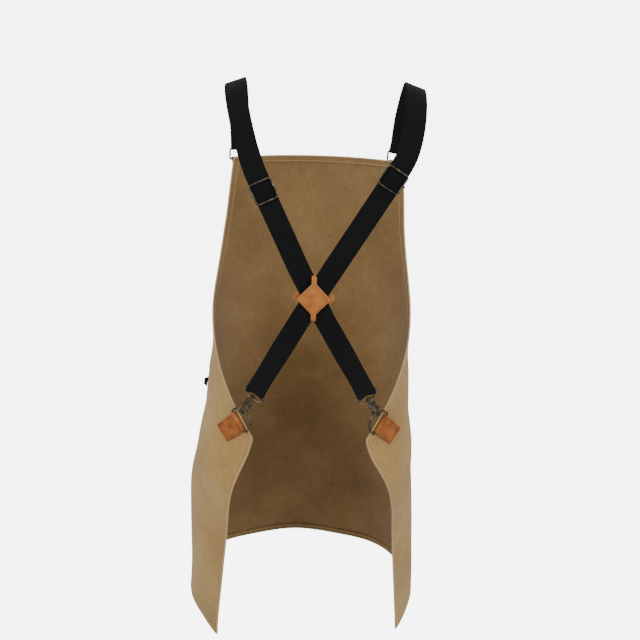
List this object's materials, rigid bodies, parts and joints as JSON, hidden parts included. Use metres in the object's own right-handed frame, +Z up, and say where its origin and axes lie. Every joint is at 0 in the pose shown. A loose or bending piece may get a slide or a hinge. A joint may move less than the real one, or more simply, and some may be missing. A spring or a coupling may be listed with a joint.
{
  "type": "cross-back work apron",
  "caption": "Canvas work apron that wraps the front and sides, held up by webbing straps that cross in a leather patch and clip to rings.",
  "frame": {"origin": "between the two straps where they lie on the shoulders, level with their undersides", "axes": "+Z up, -Y the way the wearer faces, +X the wearer's left"},
  "size_m": [0.4049, 0.3014, 0.95],
  "materials": {
    "canvas": "heavy plain-weave cotton canvas, undyed tan",
    "webbing": "flat black cotton webbing",
    "leather": "vegetable-tanned tan leather, cut edges",
    "antique_brass": "dark antique brass plating"
  },
  "bodies": {
    "apron": {"canvas_panel": "canvas", "armhole_facing_left": "canvas", "armhole_facing_right": "canvas", "chest_pocket": "canvas", "waist_pocket": "canvas", "cross_patch_front": "leather", "cross_patch_back": "leather", "side_loop": "webbing", "back_tab_left": "leather", "back_tab_right": "leather", "front_tab_left": "leather", "front_tab_right": "leather", "strap_left": "webbing", "strap_right": "webbing"},
    "slider_frame_left": {"slider_frame_left": "antique_brass"},
    "slider_bar_left": {"slider_bar_left": "antique_brass"},
    "snap_eye_left": {"snap_eye_left": "antique_brass"},
    "snap_body_left": {"snap_body_left": "antique_brass", "gate_pin_left": "antique_brass", "gate_spring_left": "antique_brass"},
    "snap_gate_left": {"snap_gate_left": "antique_brass"},
    "back_ring_left": {"back_ring_left": "antique_brass"},
    "front_loop_left": {"front_loop_left": "antique_brass"},
    "slider_frame_right": {"slider_frame_right": "antique_brass"},
    "slider_bar_right": {"slider_bar_right": "antique_brass"},
    "snap_eye_right": {"snap_eye_right": "antique_brass"},
    "snap_body_right": {"snap_body_right": "antique_brass", "gate_pin_right": "antique_brass", "gate_spring_right": "antique_brass"},
    "snap_gate_right": {"snap_gate_right": "antique_brass"},
    "back_ring_right": {"back_ring_right": "antique_brass"},
    "front_loop_right": {"front_loop_right": "antique_brass"}
  },
  "joints": [
    {"name": "slider_travel_left", "type": "slide", "parent": "apron", "child": "slider_frame_left", "axis": [-0.4326, 0.1201, -0.8935], "range_m": [-0.008, 0.08], "deforming": ["strap_left"]},
    {"name": "slider_bar_creep_left", "type": "slide", "parent": "slider_frame_left", "child": "slider_bar_left", "axis": [-0.4326, 0.1201, -0.8935], "range_m": [-0.004, 0.004]},
    {"name": "eye_tilt_left", "type": "hinge", "parent": "apron", "child": "snap_eye_left", "pos_m": [0.08649, 0.10765, -0.45801], "axis": [0.7596, -0.4723, 0.4471], "range_deg": [-3.5, 3.5]},
    {"name": "snap_swivel_left", "type": "hinge", "parent": "snap_eye_left", "child": "snap_body_left", "pos_m": [0.09262, 0.10671, -0.46943], "axis": [-0.4719, 0.0728, 0.8786], "range_deg": [-1, 55]},
    {"name": "gate_swing_left", "type": "hinge", "parent": "snap_body_left", "child": "snap_gate_left", "pos_m": [0.10187, 0.10801, -0.47732], "axis": [0.3514, -0.8984, 0.2632], "range_deg": [-20, 0], "stiffness_Nm_per_rad": 0.004, "springref_deg": 11.46, "deforming": ["gate_spring_left"]},
    {"name": "ring_hinge_left", "type": "hinge", "parent": "apron", "child": "back_ring_left", "pos_m": [0.11451, 0.10014, -0.51527], "axis": [-0.5599, 0.4022, -0.7244], "range_deg": [-7, 7]},
    {"name": "front_loop_hinge_left", "type": "hinge", "parent": "apron", "child": "front_loop_left", "pos_m": [0.12821, -0.09185, -0.13321], "axis": [0.8579, 0.5137, 0.0012], "range_deg": [-12, 12]},
    {"name": "slider_travel_right", "type": "slide", "parent": "apron", "child": "slider_frame_right", "axis": [0.5238, 0.1311, -0.8417], "range_m": [-0.008, 0.08], "deforming": ["strap_right"]},
    {"name": "slider_bar_creep_right", "type": "slide", "parent": "slider_frame_right", "child": "slider_bar_right", "axis": [0.5238, 0.1311, -0.8417], "range_m": [-0.004, 0.004]},
    {"name": "eye_tilt_right", "type": "hinge", "parent": "apron", "child": "snap_eye_right", "pos_m": [-0.08556, 0.10253, -0.45811], "axis": [0.7617, 0.4642, -0.452], "range_deg": [-3.5, 3.5]},
    {"name": "snap_swivel_right", "type": "hinge", "parent": "snap_eye_right", "child": "snap_body_right", "pos_m": [-0.09163, 0.10137, -0.46955], "axis": [0.4671, 0.0899, 0.8796], "range_deg": [-55, 1]},
    {"name": "gate_swing_right", "type": "hinge", "parent": "snap_body_right", "child": "snap_gate_right", "pos_m": [-0.10084, 0.10251, -0.47751], "axis": [0.3524, 0.8935, -0.2784], "range_deg": [-20, 0], "stiffness_Nm_per_rad": 0.004, "springref_deg": 11.46, "deforming": ["gate_spring_right"]},
    {"name": "ring_hinge_right", "type": "hinge", "parent": "apron", "child": "back_ring_right", "pos_m": [-0.11277, 0.09319, -0.51539], "axis": [0.5317, 0.4338, -0.7274], "range_deg": [-6.9, 6.9]},
    {"name": "front_loop_hinge_right", "type": "hinge", "parent": "apron", "child": "front_loop_right", "pos_m": [-0.12799, -0.09188, -0.13335], "axis": [0.8565, -0.5127, 0.0592], "range_deg": [-12, 12]}
  ],
  "couplings": [
    {"joint": "ring_hinge_left", "follows": "eye_tilt_left", "ratio": 1.691},
    {"joint": "ring_hinge_right", "follows": "eye_tilt_right", "ratio": -1.6717}
  ]
}
